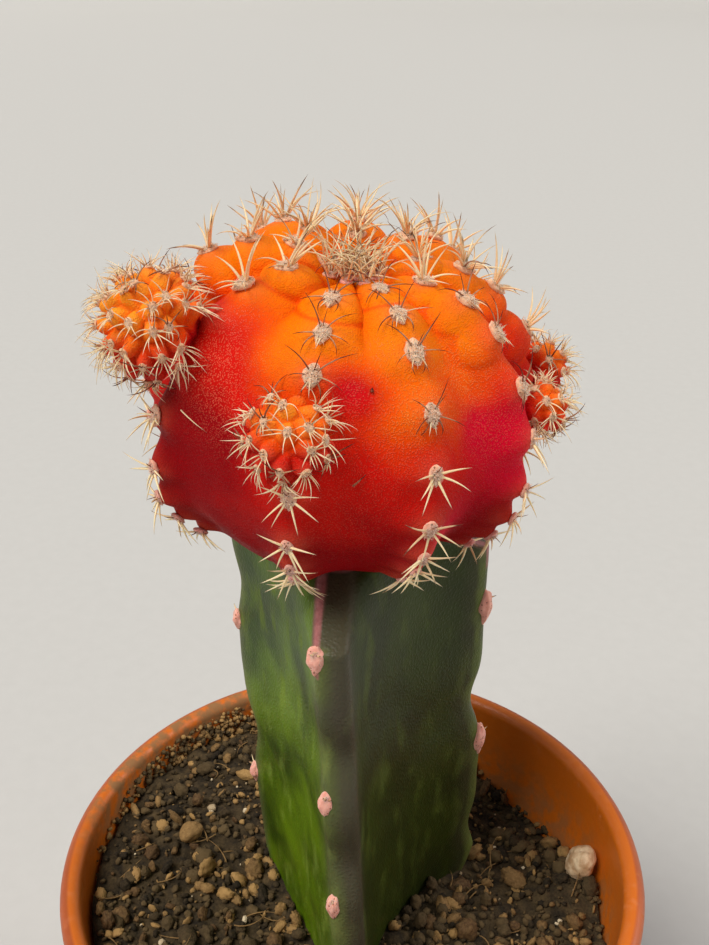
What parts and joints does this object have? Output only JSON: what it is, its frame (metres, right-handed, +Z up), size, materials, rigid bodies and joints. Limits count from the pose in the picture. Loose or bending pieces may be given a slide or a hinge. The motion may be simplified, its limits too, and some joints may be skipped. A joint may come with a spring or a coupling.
{
  "type": "potted moon cactus",
  "caption": "Red and orange ball cactus with woolly spine cushions and small offsets, grafted on a three-winged green stem in a round nursery pot of dark soil.",
  "frame": {"origin": "middle of the underside of the pot, on the surface it stands on", "axes": "+Z up along the pot's axis; -Y is the side of the plant that faces the viewer, with the stem's front wing; +X is the viewer's right"},
  "size_m": [0.085, 0.085, 0.1701],
  "materials": {
    "pot_plastic": "terracotta-coloured moulded plastic, slightly dusty",
    "peat_soil": "dark crumbly peat, a mix of plant fibre with tan grains",
    "stem_skin": "dark green waxy stem skin with a pale bloom",
    "scion_flesh": "finely granular orange and red cactus skin",
    "offset_flesh": "orange skin of the young offsets",
    "spines": "cream wool and horn-coloured spines with dark tips",
    "pebble": "pale weathered stone",
    "bark": "brown bark chip"
  },
  "bodies": {
    "root": {"bark_chip_1": "bark", "bark_chip_2": "bark", "bark_chip_3": "bark", "crown_tuft": "spines", "pot": "pot_plastic", "pup_front": "offset_flesh", "pup_left": "offset_flesh", "pup_right_back": "offset_flesh", "pup_right_front": "offset_flesh", "rootstock": "stem_skin", "scion": "scion_flesh", "soil": "peat_soil", "spine_cluster_rib1_1": "spines", "spine_cluster_rib1_2": "spines", "spine_cluster_rib1_6": "spines", "spine_cluster_rib2_1": "spines", "spine_cluster_rib2_2": "spines", "spine_cluster_rib2_3": "spines", "spine_cluster_rib2_4": "spines", "spine_cluster_rib2_5": "spines", "spine_cluster_rib2_6": "spines", "spine_cluster_rib3_1": "spines", "spine_cluster_rib3_2": "spines", "spine_cluster_rib3_3": "spines", "spine_cluster_rib3_4": "spines", "spine_cluster_rib3_6": "spines", "spine_cluster_rib4_1": "spines", "spine_cluster_rib4_2": "spines", "spine_cluster_rib4_3": "spines", "spine_cluster_rib4_4": "spines", "spine_cluster_rib5_1": "spines", "spine_cluster_rib5_2": "spines", "spine_cluster_rib5_3": "spines", "spine_cluster_rib5_4": "spines", "spine_cluster_rib5_5": "spines", "spine_cluster_rib5_6": "spines", "spine_cluster_rib6_1": "spines", "spine_cluster_rib6_2": "spines", "spine_cluster_rib6_3": "spines", "spine_cluster_rib6_4": "spines", "spine_cluster_rib6_5": "spines", "spine_cluster_rib6_6": "spines", "spine_cluster_rib7_1": "spines", "spine_cluster_rib7_2": "spines", "spine_cluster_rib7_3": "spines", "spine_cluster_rib7_4": "spines", "spine_cluster_rib7_5": "spines", "spine_cluster_rib7_6": "spines", "spine_cluster_rib8_1": "spines", "spine_cluster_rib8_2": "spines", "spine_cluster_rib8_3": "spines", "spine_cluster_rib8_4": "spines", "spine_cluster_rib8_5": "spines", "spine_cluster_rib8_6": "spines", "spine_cluster_rib9_1": "spines", "spine_cluster_rib9_2": "spines", "spine_cluster_rib9_6": "spines", "white_pebble": "pebble"}
  },
  "joints": []
}
